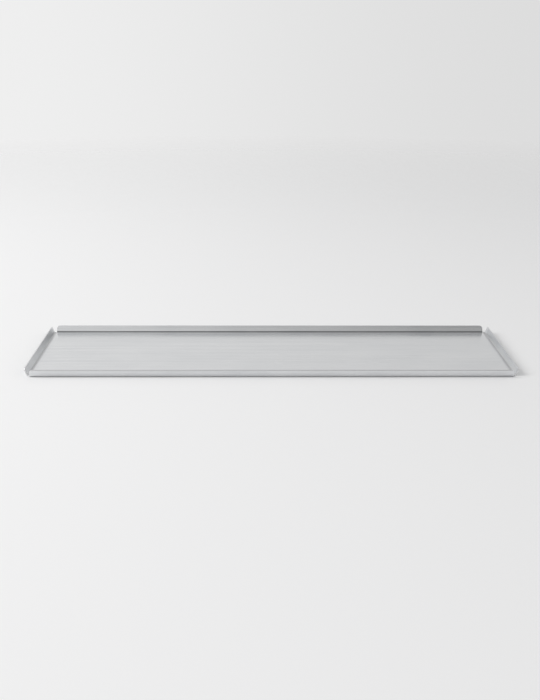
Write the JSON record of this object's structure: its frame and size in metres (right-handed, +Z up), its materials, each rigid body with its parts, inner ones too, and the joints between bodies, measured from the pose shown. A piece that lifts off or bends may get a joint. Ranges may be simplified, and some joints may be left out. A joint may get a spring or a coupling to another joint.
{
  "type": "baguette tray",
  "caption": "Shallow sheet-metal display tray for baguettes: a long flat bottom with low flared rims folded up on every side and left open at the corners.",
  "frame": {"origin": "middle of the tray's underside, on the surface that it stands on", "axes": "+X along the tray towards its right end, +Y towards its rear rim, +Z up"},
  "size_m": [0.6, 0.2, 0.0095],
  "materials": {
    "aluminium": "mill finish, semi-matte, with a fine rolling grain along the tray"
  },
  "bodies": {
    "root": {"base_panel": "aluminium", "front_rim": "aluminium", "rear_rim": "aluminium", "left_end_rim": "aluminium", "right_end_rim": "aluminium"}
  },
  "joints": []
}
